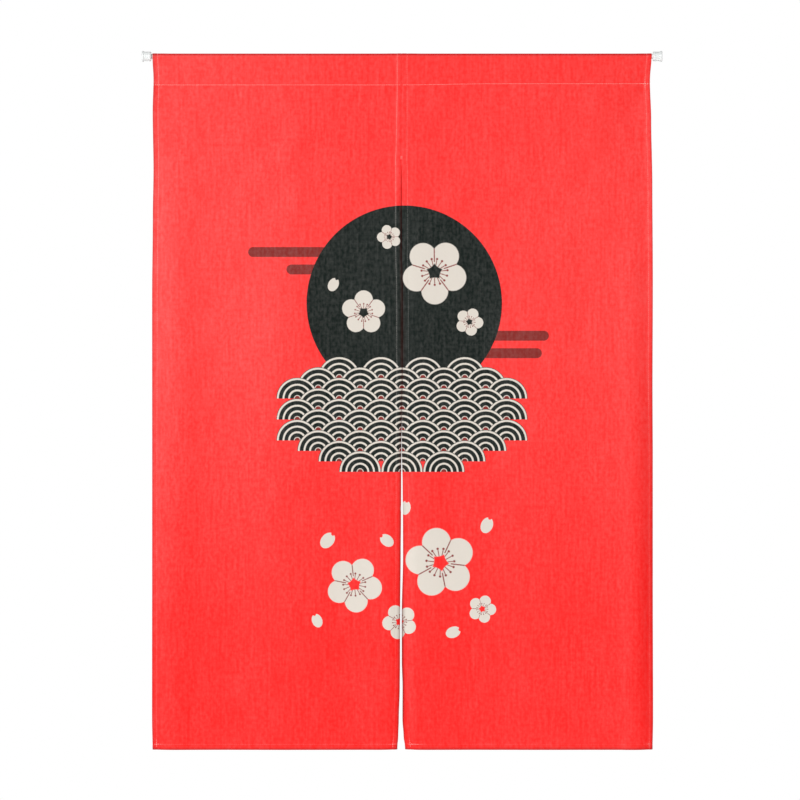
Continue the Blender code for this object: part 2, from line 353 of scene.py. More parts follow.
def puckers_forward(panel, across, drop):
    """Forward reach of the small unevenness: ripples along each line of stitches, and a faint crumple.

    The crumple is the sum of two products, each of two slow ripples that cross at a slant.
    """
    from_outer, from_slit = from_edges(panel, across, drop)
    below_seam = drop - POCKET_DROP
    seams = (
        (POCKET_PUCKER, across, below_seam - PUCKERED_BELOW),
        (OUTER_PUCKER, drop, from_outer),
        (SLIT_PUCKER, drop + SLIT_SHIFT, from_slit),
        (BOTTOM_PUCKER, across, CURTAIN_DROP - drop),
    )
    puckered = sum(ripple(pucker, along) * bell(away, pucker.width) for pucker, along, away in seams)
    crumpled = sum(
        ripple(one, across * one.across + drop * one.down)
        * ripple(other, across * other.across + drop * other.down)
        for one, other in CRUMPLE
    )
    puckered = puckered * fade(below_seam, 0.0, PUCKERED_BELOW)
    return puckered + crumpled * fade(below_seam, 0.0, CRUMPLED_BELOW)


def hanging_face(panel, across, drop):
    """Points of the printed face of the cloth below the pocket."""
    from_outer, from_slit = from_edges(panel, across, drop)
    from_bottom = CURTAIN_DROP - drop
    forward = CLOTH / 2 + folds_forward(across, drop) - rolled_back(panel, from_outer, from_slit, drop)
    for turn in BOTTOM_TURNS:
        forward -= turn.back * near(from_bottom, turn.reach)
    forward += creases_forward(across, drop) + puckers_forward(panel, across, drop)
    near_side = near(np.minimum(from_outer, from_slit), CORNER_REACH)
    lifted = CORNER_LIFT * near_side * near(from_bottom, CORNER_REACH)
    climbed = seam_climb(across) * (1.0 - fade(drop, POCKET_DROP, CLIMB_FADED))
    return np.stack((across, -forward, TOP_FOLD - drop + lifted + climbed), axis=-1)


# ---------------------------------------------------------------- the strip of one panel


def stitches_in(panel, side, drop):
    """Distance of the stitches of one of a panel's side hems from that side."""
    return eased(STITCHES_IN, panel + side, drop)


def hems_of(panel, across, drop):
    """For the outer, the slit's and the bottom hem: distance from its edge, and of its stitches from it."""
    from_outer, from_slit = from_edges(panel, across, drop)
    return (
        (from_outer, stitches_in(panel, "_outer", drop)),
        (from_slit, stitches_in(panel, "_slit", drop)),
        (CURTAIN_DROP - drop, BOTTOM_STITCHES),
    )


def hem_share(panel, across, drop):
    """1 inside a side hem or the bottom hem, 0 in the single cloth.

    The step between them is soft and narrow, and lies just beyond the hem's stitches.
    """
    hems = hems_of(panel, across, drop)
    beyond = [distance - stitches - HEM_BEYOND_STITCHES for distance, stitches in hems]
    return 1.0 - fade(np.minimum(np.minimum(*beyond[:2]), beyond[2]), 0.0, HEM_STEP)


def columns(panel, drop):
    """Places across a panel at one drop: close together in the side hems, evenly spread between."""
    left, right = panel_sides(panel, drop)
    sides = ("_outer", "_slit") if panel == "left" else ("_slit", "_outer")
    left_in, right_in = (stitches_in(panel, side, drop) for side in sides)
    shares = np.array(HEM_SHARES)
    from_left = left + HEM / 2 + shares * (left_in - HEM / 2)
    from_right = right - HEM / 2 - shares[::-1] * (right_in - HEM / 2)
    between = np.linspace(from_left[-1], from_right[0], COLUMNS_BETWEEN + 2)[1:-1]
    return np.concatenate((from_left, between, from_right))


def pocket_side(way, rounding, seam_out, seam_height):
    """Outward distance and height of one side of the pocket, by the share of its length from the top.

    The cloth follows a circle over the rod, then a straight line that touches the circle and ends
    at the seam, seam_out away from the curtain's middle plane.
    """
    turn = np.arctan2(seam_out, seam_height) - np.arccos(rounding / np.hypot(seam_out, seam_height))
    straight = np.sqrt(seam_out**2 + seam_height**2 - rounding**2)
    gone = way * (rounding * turn + straight)
    angle = np.minimum(gone / rounding, turn)
    past = np.clip((gone - rounding * turn) / straight, 0.0, 1.0)
    out = rounding * np.sin(angle)
    height = rounding * np.cos(angle)
    return out + (seam_out - out) * past, height + (seam_height - height) * past


def back_layer_out(panel, across, drop):
    """How far the pocket's back stands out behind the face of the cloth it is sewn to, at its seam."""
    front_layer = CLOTH + (HEM - CLOTH) * hem_share(panel, across, drop)
    return front_layer + LAYER_GAP + np.maximum(front_layer, TURNED_UNDER)


def pocket_face(panel, across, drop, back=False):
    """Points of the cloth's printed face on the pocket's front, or on its back."""
    over_hems = 1.0 - fade(np.minimum(*from_edges(panel, across, drop)), *HEM_FELT_TO)
    rounding = ROD_RADIUS + ROD_CONTACT + CLOTH + (HEM_OVER_ROD - CLOTH) * over_hems
    seam_out = back_layer_out(panel, across, drop) - CLOTH / 2 if back else np.full_like(across, CLOTH / 2)
    out, height = pocket_side(drop / POCKET_DROP, rounding, seam_out, POCKET_SEAM + seam_climb(across))
    if back:
        return np.stack((across, out, height), axis=-1)
    above_seam = POCKET_DROP - drop
    puckered = bell(above_seam - PUCKERED_ABOVE, ON_POCKET_PUCKER.width)
    puckered = puckered * fade(above_seam, 0.0, PUCKERED_BELOW)
    out = out + ripple(ON_POCKET_PUCKER, across + ON_POCKET_SHIFT) * puckered
    return np.stack((across, -out, height), axis=-1)


def flap_end_face(panel, across, drop):
    """Points of the printed face of the pocket's back below its seam, behind the hanging cloth."""
    points = hanging_face(panel, across, drop)
    points[:, 1] += back_layer_out(panel, across, drop)
    return points


def printed_strip(panel):
    """Grids of the printed face, row by row from the end of the pocket's back to the bottom hem.

    Returns the points, the places across, and the drops, which are negative on the pocket's back.
    """
    over = np.linspace(0.0, WAY_OVER_ROD, ROWS_OVER_ROD)
    down_side = np.linspace(WAY_OVER_ROD, WAY_DOWN_SIDE, ROWS_ON_POCKET_SIDE)[1:]
    near_seam = 1.0 - np.array(SEAM_STEPS[::-1]) / POCKET_DROP
    pocket = POCKET_DROP * np.concatenate((over, down_side, near_seam, [1.0]))
    above_hem = CURTAIN_DROP - HEM_SHARES[-1] * BOTTOM_STITCHES
    middle = np.linspace(POCKET_DROP + SEAM_STEPS[-1], above_hem, ROWS_HANGING)
    hem_rows = CURTAIN_DROP - HEM / 2 - np.array(HEM_SHARES[-2::-1]) * (BOTTOM_STITCHES - HEM / 2)
    hanging = np.concatenate((POCKET_DROP + np.array(SEAM_STEPS[:-1]), middle, hem_rows))
    parts = (
        (POCKET_DROP + np.array(FLAP_DROPS), flap_end_face, -1.0),
        (pocket[::-1], partial(pocket_face, back=True), -1.0),
        (pocket[1:], pocket_face, 1.0),
        (hanging, hanging_face, 1.0),
    )
    rows = []
    for drops, face, sign in parts:
        for row_drop in drops:
            across = columns(panel, row_drop)
            drop = np.full_like(across, row_drop)
            rows.append((face(panel, across, drop), across, sign * drop))
    return [np.array(grid) for grid in zip(*rows)]


def normals_of(points):
    """Unit normals of the printed face: the way down the rows crossed with the way along them."""
    return unit(np.cross(np.gradient(points, axis=0), np.gradient(points, axis=1)))


def thickness_of(panel, across, drop):
    """Thickness: the single cloth, the hems, and the turned-under end of the pocket's back.

    The hems are squeezed flatter where they lie over the rod.
    """
    hem = HEM_OVER_ROD + (HEM - HEM_OVER_ROD) * fade(np.abs(drop), *FULL_HEM_DROPS)
    thickness = CLOTH + (hem - CLOTH) * hem_share(panel, across, np.abs(drop))
    above_end = np.where(drop < 0.0, POCKET_DROP + FLAP_BELOW_SEAM + drop, 1.0)
    turned = 1.0 - fade(above_end, FLAP_TURN, FLAP_TURN + HEM_STEP)
    return np.maximum(thickness, CLOTH + (TURNED_UNDER - CLOTH) * turned)


def relief_of(panel, across, drop):
    """Depth of the grooves pulled in by the stitches, and height of the swells of the hems.

    A groove is a narrow bell at a line of stitches. A hem swells in a wide bell between its edge
    and its stitches, and dips in a bell past its fold.
    """
    groove = bell(drop - POCKET_DROP, GROOVE_WIDTH)
    swell = np.zeros_like(across)
    for distance, stitches in hems_of(panel, across, drop):
        groove += bell(distance - stitches, GROOVE_WIDTH)
        swell += SWELL_HEIGHT * bell(distance - 0.5 * stitches, SWELL_WIDTH)
        swell -= DIP_DEPTH * bell(distance - stitches - DIP_BEYOND, DIP_WIDTH)
    return GROOVE_DEPTH * np.minimum(groove, 1.0), swell


def painted_shade_and_pale_bands_of(panel, across, drop):
    """The shade painted along the cloth's folded edges, and how much paler the cloth is along its stitches.

    The painted shade is deepest at each edge, and falls along a parabola to nothing at its reach. Below the
    top fold it is a bell, and so is the paler band across each side hem's line of stitches.
    """
    pressed = TOP_PAINTED_SHADE * bell(drop - TOP_PAINTED_SHADE_AT, TOP_PAINTED_SHADE_WIDTH)
    pressed += BOTTOM_PAINTED_SHADE * near(CURTAIN_DROP - drop, BOTTOM_PAINTED_SHADE_REACH)
    rubbed = np.zeros_like(across)
    hems = hems_of(panel, across, drop)[:2]
    for (distance, stitches), side in zip(hems, (panel + "_outer", panel + "_slit")):
        pressed += eased(PAINTED_EDGE_SHADE, side, drop) * near(distance, PAINTED_EDGE_SHADE_REACH[side])
        rubbed += eased(PALER_AT_STITCHES, side, drop) * bell(distance - stitches, PALER_BAND_WIDTH)
    return np.minimum(pressed, 1.0), rubbed


def rounded_end(face, back, inner_face):
    """Rows that close the end of a strip along a half circle between its face and its back."""
    middle = (face + back) / 2
    half = (face - back) / 2
    turns = np.array(END_TURNS)[:, None, None]
    reach = np.linalg.norm(half, axis=-1, keepdims=True)
    out = middle + unit(face - inner_face) * reach * np.sin(turns)
    return out + half * np.cos(turns), out - half * np.cos(turns)


Strip = namedtuple("Strip", "face back across drop wrong_side pressed rubbed")


def make_strip(panel):
    """The face and back of one panel's cloth, row by row, with each point's place on the cloth.

    The back lies one thickness behind the face. Both sink at the stitches, and the face swells in
    the hems. The back shows the print's wrong side, except where a hem is turned onto it.
    """
    points, across, drop = printed_strip(panel)
    normals = normals_of(points)
    down = np.abs(drop)
    sunk, swell = relief_of(panel, across, down)
    face = points + (swell - sunk)[..., None] * normals
    back = points + (sunk - thickness_of(panel, across, drop))[..., None] * normals
    first_faces, first_backs = rounded_end(face[0], back[0], face[1])
    last_faces, last_backs = rounded_end(face[-1], back[-1], face[-2])
    margin = ((len(END_TURNS), len(END_TURNS)), (0, 0))
    values = (across, drop, 1.0 - hem_share(panel, across, down), *painted_shade_and_pale_bands_of(panel, across, down))
    return Strip(
        np.concatenate((first_faces[::-1], face, last_faces)),
        np.concatenate((first_backs[::-1], back, last_backs)),
        *(np.pad(value, margin, mode="edge") for value in values),
    )


def side_rim(face, back, outwards, power):
    """Points of one side's rim, from the face to the back, at the rim's turns of a half circle.

    Sine and cosine are raised to a power. A power under 1 squares the half circle's corners.
    """
    middle = (face + back) / 2
    half = (face - back) / 2
    turns = np.array(RIM_TURNS)
    towards_face = np.sign(np.cos(turns)) * np.abs(np.cos(turns)) ** power[:, None]
    towards_side = np.sin(turns) ** power[:, None]
    outwards = unit(outwards) * np.linalg.norm(half, axis=-1, keepdims=True)
    aside = outwards[:, None] * towards_side[..., None]
    return middle[:, None] + half[:, None] * towards_face[..., None] + aside


def looped(left_rim, face, right_rim, back):
    """Each row as a closed loop that starts and ends in the middle of the left rim."""
    left_to_face, back_to_left = left_rim[:, 1::-1], left_rim[:, :1:-1]
    return np.concatenate((left_to_face, face, right_rim, back[:, ::-1], back_to_left), axis=1)


def closed_quads(rings, around):
    """Quads between each ring of points and the next, and a ladder of quads across each end ring."""
    index = np.arange(rings * around).reshape(rings, around)
    onward = np.roll(index, -1, axis=1)
    sides = np.stack((index[:-1], index[1:], onward[1:], onward[:-1]), axis=-1).reshape(-1, 4)
    rung = np.arange(around // 2 - 1)
    ends = [
        np.stack((ring[rung], ring[rung + 1], ring[-2 - rung], ring[-1 - rung]), axis=-1)
        for ring in (index[0], index[-1, ::-1])
    ]
    return np.concatenate((sides, *ends))


def add_object(name, data):
    """Put a mesh, a camera or a light into the scene."""
    added = bpy.data.objects.new(name, data)
    bpy.context.scene.collection.objects.link(added)
    return added


def add_piece(name, points, faces, finish, places=None, **values):
    """Make a smooth mesh object from arrays. Places fill its UV map, and each value an attribute."""
    mesh = bpy.data.meshes.new(name)
    mesh.from_pydata(points.reshape(-1, 3).tolist(), [], faces.tolist())
    if places is not None:
        corners = np.zeros(len(mesh.loops), np.int32)
        mesh.loops.foreach_get("vertex_index", corners)
        layer = mesh.uv_layers.new(name="place_on_cloth")
        layer.uv.foreach_set("vector", places.reshape(-1, 2)[corners].astype(np.float32).ravel())
    for value_name, numbers in values.items():
        attribute = mesh.attributes.new(name=value_name, type="FLOAT", domain="POINT")
        attribute.data.foreach_set("value", numbers.astype(np.float32).ravel())
    mesh.materials.append(finish)
    mesh.shade_smooth()
    return add_object(name, mesh)


def make_cloth(panel, strip, finish):
    """One panel's cloth as a closed sheet, from the strip's face, back and rims.

    Where the panels are sewn together the rim on the slit's side is squared, so they meet closely.
    """
    freed = fade(np.abs(strip.drop[:, 0]), JOINED_TO, SLIT_FROM)
    slit_power = JOINED_SQUARENESS + (1.0 - JOINED_SQUARENESS) * freed
    powers = (np.ones_like(slit_power), slit_power)
    left_power, right_power = powers if panel == "left" else powers[::-1]
    face, back = strip.face, strip.back
    left_rim = side_rim(face[:, 0], back[:, 0], face[:, 0] - face[:, 1], left_power)
    right_rim = side_rim(face[:, -1], back[:, -1], face[:, -1] - face[:, -2], right_power)
    points = looped(left_rim, face, right_rim, back)

    def with_rims(values, on_face=1.0):
        beside_left, beside_right = (
            np.repeat(on_face * column, len(RIM_TURNS), axis=1) for column in (values[:, :1], values[:, -1:])
        )
        return looped(beside_left, on_face * values, beside_right, values)

    places = np.stack((with_rims(strip.across), with_rims(strip.drop)), axis=-1)
    # The painted shade and the paler bands go to the mesh as values at each point.
    values = {name: with_rims(getattr(strip, name)) for name in ("pressed", "rubbed")}
    values["wrong_side"] = with_rims(strip.wrong_side, on_face=0.0)
    return add_piece(panel + "_cloth", points, closed_quads(*points.shape[:2]), finish, places, **values)


# ---------------------------------------------------------------- stitches

# Stations along a stitch: place as a share of half its length, height over the cloth, thread radius.
STATIONS = (
    (-1.00, -0.00040, 0.00014),
    (-0.72, -0.00006, 0.00030),
    (0.72, -0.00006, 0.00030),
    (1.00, -0.00040, 0.00014),
)
THREAD_SIDES = 6
UNEVEN_PLACE = 0.06
UNEVEN_LENGTH = 0.05
HALF_STEP = 0.0005

# Pitch and length of the stitches of a line, and how far each is turned from the line.
Sewing = namedtuple("Sewing", "pitch length turn")
LOCKSTITCH = Sewing(0.0032, 0.0027, 0.0)
WHIPSTITCH = Sewing(0.0042, 0.0052, radians(58))
BAR_TACK = Sewing(0.00085, 0.0050, radians(90))
TACK_STITCHES = 7
TACK_DROP = 0.1795
WHIPPED_BELOW = 0.010
SEWN_BELOW_POCKET = 0.002

# Share of undyed thread in a line's colour, at the pocket and at the hem. The rest is the dye.
SHOWS = {
    "left_outer": (0.30, 0.10),
    "left_slit": (0.36, 0.06),
    "left_bottom": (0.10, 0.10),
    "right_outer": (0.22, 0.08),
    "right_slit": (0.16, 0.04),
    "right_bottom": (0.05, 0.05),
    "pocket": (0.52, 0.52),
    "back": (0.45, 0.45),
    "tack": (0.20, 0.20),
}
SHOWS_BETWEEN = (POCKET_DROP + 0.10, 0.9 * CURTAIN_DROP)

# Spots where the thread was locked with extra stitches, and shows brighter.
BRIGHT_SPOTS = table(
    "across drop width extra",
    (-0.4214, 1.1880, 0.0036, 0.75),
    (-0.4214, 0.0540, 0.0030, 0.45),
    (-0.0140, 1.1880, 0.0050, 0.70),
    (0.0150, 1.1880, 0.0030, 0.60),
    (0.0230, 1.1880, 0.0075, 0.55),
    (0.4240, 1.1890, 0.0030, 0.40),
    (0.4180, 0.0540, 0.0042, 1.00),
    (0.3200, 0.0540, 0.0018, 0.35),
)

Line = namedtuple("Line", "points normals places shows")


def stitch_rings(line, sewing, jitter):
    """Rings of thread of each stitch along a line, with its place on the cloth and its thread's share.

    Each station of a stitch lies on the line at its own distance along it, lifted along the cloth's
    normal. A turned stitch swings about the normal at its middle. A ring is a circle around the
    thread.
    """
    steps = np.linalg.norm(np.diff(line.points, axis=0), axis=-1)
    gone = np.concatenate(([0.0], np.cumsum(steps)))

    def at_distance(values, distance):
        return np.stack([np.interp(distance, gone, part) for part in values.T], axis=-1)

    middles = np.arange(sewing.pitch, gone[-1] - sewing.pitch / 2, sewing.pitch)
    middles = middles + UNEVEN_PLACE * sewing.pitch * jitter.standard_normal(len(middles))
    halves = sewing.length / 2 * (1.0 + UNEVEN_LENGTH * jitter.standard_normal(len(middles)))
    station, lift, radius = np.array(STATIONS).T
    offset = halves[:, None] * station
    normal = unit(at_distance(line.normals, middles))
    before, after = (at_distance(line.points, middles + step) for step in (-HALF_STEP, HALF_STEP))
    onwards = unit(after - before)
    beside = np.cross(onwards, normal)
    centre = at_distance(line.points, middles[:, None] + offset * cos(sewing.turn))
    centre = centre + lift[:, None] * normal[:, None]
    centre = centre + (offset * sin(sewing.turn))[..., None] * beside[:, None]
    sideways = beside * cos(sewing.turn) - onwards * sin(sewing.turn)
    turns = np.arange(THREAD_SIDES)[:, None] * 2 * pi / THREAD_SIDES
    ring = sideways[:, None] * np.cos(turns) + normal[:, None] * np.sin(turns)
    rings = centre[:, :, None] + ring[:, None] * radius[:, None, None]
    places = np.broadcast_to(at_distance(line.places, middles)[:, None, None], (*rings.shape[:3], 2))
    shows = np.interp(middles, gone, line.shows)
    return rings, places, np.broadcast_to(shows[:, None, None], rings.shape[:3])


def make_stitches(name, runs, finish, jitter):
    """Stitches as one mesh. Each run is a line and its sewing."""
    parts = [stitch_rings(line, sewing, jitter) for line, sewing in runs]
    rings, places, shows = (np.concatenate(kind) for kind in zip(*parts))
    first = np.arange(len(rings))[:, None, None] * (len(STATIONS) * THREAD_SIDES)
    quads = (closed_quads(len(STATIONS), THREAD_SIDES) + first).reshape(-1, 4)
    return add_piece(name, rings, quads, finish, places, thread_share=shows)


def line_on(strip, side, cut, kind):
    """A line of stitches on a strip's face or back, along the rows and columns of a cut."""
    on_face = side == "face"
    points = strip.face if on_face else strip.back
    normals = normals_of(strip.face)[cut] * (1.0 if on_face else -1.0)
    places = np.stack((strip.across, strip.drop), axis=-1)[cut]
    at_pocket, at_hem = SHOWS[kind]
    shown = at_pocket + (at_hem - at_pocket) * fade(places[:, 1], *SHOWS_BETWEEN)
    for spot in BRIGHT_SPOTS if on_face else ():
        away = np.hypot(places[:, 0] - spot.across, places[:, 1] - spot.drop)
        shown = shown + spot.extra * bell(away, spot.width)
    return Line(points[cut], normals, places, shown)


def hem_runs(panel, strip):
    """The machine sewing of one panel: its side hems, its pocket and its bottom hem, front and back."""
    drop = strip.drop[:, 0]
    ends = len(END_TURNS)
    every_row = slice(ends + 1, len(drop) - ends - 2)
    below_pocket = slice(int(np.argmax(drop > POCKET_DROP + SEWN_BELOW_POCKET)), every_row.stop)
    every_column = slice(None)
    seam_row, back_seam_row = (int(np.argmin(np.abs(drop - at))) for at in (POCKET_DROP, -POCKET_DROP))
    bottom_row = len(drop) - ends - 1 - AT_STITCHES
    left, right = AT_STITCHES, strip.face.shape[1] - 1 - AT_STITCHES
    outer, slit = (left, right) if panel == "left" else (right, left)
    lines = (
        ("face", (every_row, outer), panel + "_outer"),
        ("back", (below_pocket, outer), "back"),
        ("face", (every_row, slit), panel + "_slit"),
        ("back", (below_pocket, slit), "back"),
        ("face", (seam_row, every_column), "pocket"),
        ("face", (back_seam_row, every_column), "back"),
        ("face", (bottom_row, every_column), panel + "_bottom"),
        ("back", (bottom_row, every_column), "back"),
    )
    return [(line_on(strip, *line), LOCKSTITCH) for line in lines]


def joining_runs(strip):
    """The hand sewing that joins the panels: whip stitches behind, and a bar tack above the slit.

    All lie half a hem's thickness past the left panel's last column, where the panels meet. The bar
    tack's stitches lie across that line.
    """
    drop = strip.drop[:, -1]
    to_seam = np.array((HEM / 2, 0.0, 0.0))
    joined = np.flatnonzero((drop > POCKET_DROP + FLAP_BELOW_SEAM) & (drop < SLIT_FROM))
    behind = joined[drop[joined] < JOINED_TO]
    on_pocket = np.flatnonzero((drop < -WHIPPED_BELOW) & (drop > -POCKET_DROP - FLAP_BELOW_SEAM))
    whipped = line_on(strip, "back", (behind, -1), "back")
    pocket_whipped = line_on(strip, "face", (on_pocket, -1), "back")
    half_tack = (TACK_STITCHES + 1) / 2 * BAR_TACK.pitch
    at = np.linspace(TACK_DROP - half_tack, TACK_DROP + half_tack, TACK_STITCHES + 2)
    tacked = Line(*(
        np.stack([np.interp(at, drop[joined], part) for part in np.atleast_2d(values.T)], axis=-1)
        for values in line_on(strip, "face", (joined, -1), "tack")
    ))
    tacked = tacked._replace(shows=tacked.shows[:, 0])
    runs = ((whipped, WHIPSTITCH), (pocket_whipped, WHIPSTITCH), (tacked, BAR_TACK))
    return [(line._replace(points=line.points + to_seam), sewing) for line, sewing in runs]


# ---------------------------------------------------------------- rod and its caps

CAP_DIAMETER = 0.0165
CAP_FOOT_DIAMETER = 0.0185
CAP_FOOT_LENGTH = 0.0035
CAP_LENGTH = 0.0160
CAP_END_WALL = 0.0030
CAP_FIT = 0.0003
CAP_EDGE = 0.0008
CAP_DISH = 0.0004
DISH_FLAT, DISH_RIM = 0.55, 0.72
CAP_NECK = ((0.0001, 0.0002), (0.0, 0.0006))
SOCKET_BEVEL = 0.0003
GRIP_RINGS = 3
GRIP_PITCH = 0.0020
GRIP_START = 0.0045
GRIP_DEPTH = 0.00035
GRIP_POINTS = 8
ROD_EDGE = 0.0004
TINY = 0.0002
CORNER_POINTS = 5
TURNED_SIDES = 64
SHARP_FROM = radians(35)


def rounded_corner(centre, radius, start, end):
    """Points of an arc round a centre, from one angle to another, as (radius, along) pairs."""
    turns = np.linspace(start, end, CORNER_POINTS)
    return [(centre[0] + radius * cos(turn), centre[1] + radius * sin(turn)) for turn in turns]


def turned_piece(name, profile, start, outwards, finish):
    """Solid of revolution about the rod's axis: each (radius, along) pair of a profile is a ring.

    Along is measured from the start, outwards. The first and last rings are tiny, and each is
    closed by a ladder of quads.
    """
    radius, along = np.array(profile).T[:, :, None]
    turns = np.arange(TURNED_SIDES) * 2 * pi / TURNED_SIDES
    level = radius * np.cos(turns)
    rings = (start + outwards * along + 0.0 * turns, level, outwards * radius * np.sin(turns))
    piece = add_piece(name, np.stack(rings, axis=-1), closed_quads(*level.shape), finish)
    piece.data.set_sharp_from_angle(angle=SHARP_FROM)
    return piece


def cap_profile():
    """Half section of a cap: its dished foot, the foot's rim, the gripped barrel, then its socket.

    The grip is three shallow rings, each one period of a raised cosine sunk into the barrel.
    """
    foot, barrel, bore = CAP_FOOT_DIAMETER / 2, CAP_DIAMETER / 2, ROD_RADIUS + CAP_FIT
    edge = CAP_EDGE
    step = CAP_LENGTH - CAP_FOOT_LENGTH
    floor = CAP_LENGTH - CAP_END_WALL
    dish = CAP_LENGTH - CAP_DISH
    profile = [(TINY, dish), (foot * DISH_FLAT, dish), (foot * DISH_RIM, CAP_LENGTH)]
    profile += rounded_corner((foot - edge, CAP_LENGTH - edge), edge, pi / 2, 0.0)
    profile += rounded_corner((foot - edge, step + edge), edge, 0.0, -pi / 2)
    profile += [(barrel - inwards, step - below) for inwards, below in CAP_NECK]
    grips = np.linspace(GRIP_START + GRIP_RINGS * GRIP_PITCH, GRIP_START, GRIP_POINTS * GRIP_RINGS + 1)
    sunk = GRIP_DEPTH * (1 - np.cos((grips - GRIP_START) / GRIP_PITCH * 2 * pi)) / 2
    profile += list(zip(barrel - sunk, grips))
    profile += rounded_corner((barrel - edge, edge), edge, 0.0, -pi / 2)
    return profile + [(bore + SOCKET_BEVEL, 0.0), (bore, SOCKET_BEVEL), (bore, floor), (TINY, floor)]


def make_cap(side, finish):
    """One end cap, its socket over the rod's end and its foot towards the jamb."""
    low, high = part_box("rod_cap_" + side)
    start, outwards = (high.x, -1) if side == "left" else (low.x, 1)
    return turned_piece(side + "_cap", cap_profile(), start, outwards, finish)


def make_rod(finish):
    """The rod: a straight bar with rounded ends, closed at both ends."""
    low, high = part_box("rod")
    length = high.x - low.x
    profile = [(TINY, length)]
    profile += rounded_corner((ROD_RADIUS - ROD_EDGE, length - ROD_EDGE), ROD_EDGE, pi / 2, 0.0)
    profile += rounded_corner((ROD_RADIUS - ROD_EDGE, ROD_EDGE), ROD_EDGE, 0.0, -pi / 2)
    return turned_piece("rod_tube", profile + [(TINY, 0.0)], low.x, 1, finish)


# ---------------------------------------------------------------- arithmetic on a material's nodes


def arithmetic(operation, swapped=False):
    """An operator of a field: a Math node on the field and the other term, or the other way round."""
    return lambda field, other: calc(operation, *((other, field) if swapped else (field, other)))


class Field:
    """A number or vector that varies over a surface: a node's output, with arithmetic that adds nodes."""

    def __init__(self, socket):
        self.socket = socket
        self.tree = socket.id_data

    __add__, __radd__ = arithmetic("ADD"), arithmetic("ADD", swapped=True)
    __sub__, __rsub__ = arithmetic("SUBTRACT"), arithmetic("SUBTRACT", swapped=True)
    __mul__, __rmul__ = arithmetic("MULTIPLY"), arithmetic("MULTIPLY", swapped=True)
    __truediv__ = arithmetic("DIVIDE")


def feed(node, sources):
    """Link fields to a node's inputs by their names or numbers, or set them to plain values."""
    for name, source in sources.items():
        if isinstance(source, Field):
            source.tree.links.new(source.socket, node.inputs[name])
        else:
            node.inputs[name].default_value = source


def add_node(tree, kind, sources, output=0, **settings):
    """A new node with its settings made and its inputs fed: the field of one of its outputs."""
    node = tree.nodes.new("ShaderNode" + kind)
    for name, setting in settings.items():
        setattr(node, name, setting)
    feed(node, sources)
    return Field(node.outputs[output])


def calc(operation, *terms, clamp=False):
    """A Math node on fields and plain numbers."""
    tree = next(term.tree for term in terms if isinstance(term, Field))
    return add_node(tree, "Math", dict(enumerate(terms)), operation=operation, use_clamp=clamp)


def either(one, other):
    """Where at least one of two masks is: the greater one."""
    return calc("MAXIMUM", one, other)


def size_of(value):
    """The value without its sign."""
    return calc("ABSOLUTE", value)


def length_of(across, down):
    """Distance from the origin of the point (across, down)."""
    return calc("SQRT", across * across + down * down)


def within(distance, soft=0.02):
    """Mask that is 1 where a distance is negative and 0 where it is positive, softened over a width."""
    return calc("MULTIPLY_ADD", distance, -1.0 / soft, 0.5, clamp=True)


def wrapped(value, reach):
    """The value brought between minus the reach and the reach by whole periods."""
    return calc("WRAP", value, reach, -reach)


def parts_of(vector):
    """The first two parts of a vector."""
    return [add_node(vector.tree, "SeparateXYZ", {0: vector}, part) for part in ("X", "Y")]


def seen_by(motif, vector, size):
    """A place as a motif sees it: from its centre, along its own axes, in its own sizes."""
    sources = {
        "Vector": vector,
        "Location": (motif.across, motif.drop, 0.0),
        "Rotation": (0.0, 0.0, motif.turn),
        "Scale": (*size, 1.0),
    }
    return add_node(vector.tree, "Mapping", sources, vector_type="TEXTURE")


def noise(vector, scale, detail=2.0, roughness=0.5):
    """Smooth noise around 0.5, with its own number of cells to a metre in each direction."""
    stretched = add_node(vector.tree, "VectorMath", {0: vector, 1: scale}, operation="MULTIPLY")
    sources = {"Vector": stretched, "Scale": 1.0, "Detail": detail, "Roughness": roughness}
    return add_node(vector.tree, "TexNoise", sources, "Fac")


def carried(value, *ends):
    """The value carried from one range to another, by default 0 to 1, and held at its ends."""
    return add_node(value.tree, "MapRange", dict(enumerate((value, *ends))), "Result")


# Numbers of a Mix node's two inputs and its output, for each kind of value that it mixes.
MIX_SOCKETS = {"RGBA": (6, 7, 2), "VECTOR": (4, 5, 1)}


def mixed(share, low, high, kind="RGBA"):
    """From low to high by a share. A plain colour is given as red, green and blue."""
    low, high = ((*value, 1.0) if isinstance(value, tuple) else value for value in (low, high))
    at_low, at_high, result = MIX_SOCKETS[kind]
    return add_node(share.tree, "Mix", {0: share, at_low: low, at_high: high}, result, data_type=kind)


NUMBER = "NodeSocketFloat"
COLOUR = "NodeSocketColor"
VECTOR = "NodeSocketVector"


def new_group(name, inputs, outputs):
    """An empty node group with its input fields by name, and its output node."""
    group = bpy.data.node_groups.new(name, "ShaderNodeTree")
    for direction, sockets in (("INPUT", inputs), ("OUTPUT", outputs)):
        for socket_name, kind in sockets.items():
            group.interface.new_socket(name=socket_name, in_out=direction, socket_type=kind)
    start = group.nodes.new("NodeGroupInput")
    end = group.nodes.new("NodeGroupOutput")
    return group, {socket.name: Field(socket) for socket in start.outputs if socket.name}, end


def place_group(tree, group, **inputs):
    """Put a node group into a material and return its outputs by name."""
    node = tree.nodes.new("ShaderNodeGroup")
    node.node_tree = group
    feed(node, inputs)
    return {socket.name: Field(socket) for socket in node.outputs}


# ---------------------------------------------------------------- the print

# A plain red, and a paler red that is painted where the cloth should look more lit.
PLAIN_RED = (0.965, 0.002, 0.000)
PAINTED_LIGHT_RED = (0.965, 0.030, 0.027)
# A dark red that is painted along the folded edges as shade.
PAINTED_SHADE_COLOUR = (0.110, 0.010, 0.009)
DARK_RED = (0.235, 0.018, 0.014)
CHARCOAL = (0.001, 0.006, 0.004)
CREAM = (0.720, 0.663, 0.587)
INK_EDGE = 0.0005
INK_FRAY = 0.0011
FRAY_CELLS = ((900.0, 900.0, 1.0), (700.0, 760.0, 1.0))
FRAY_DETAIL = 1.0
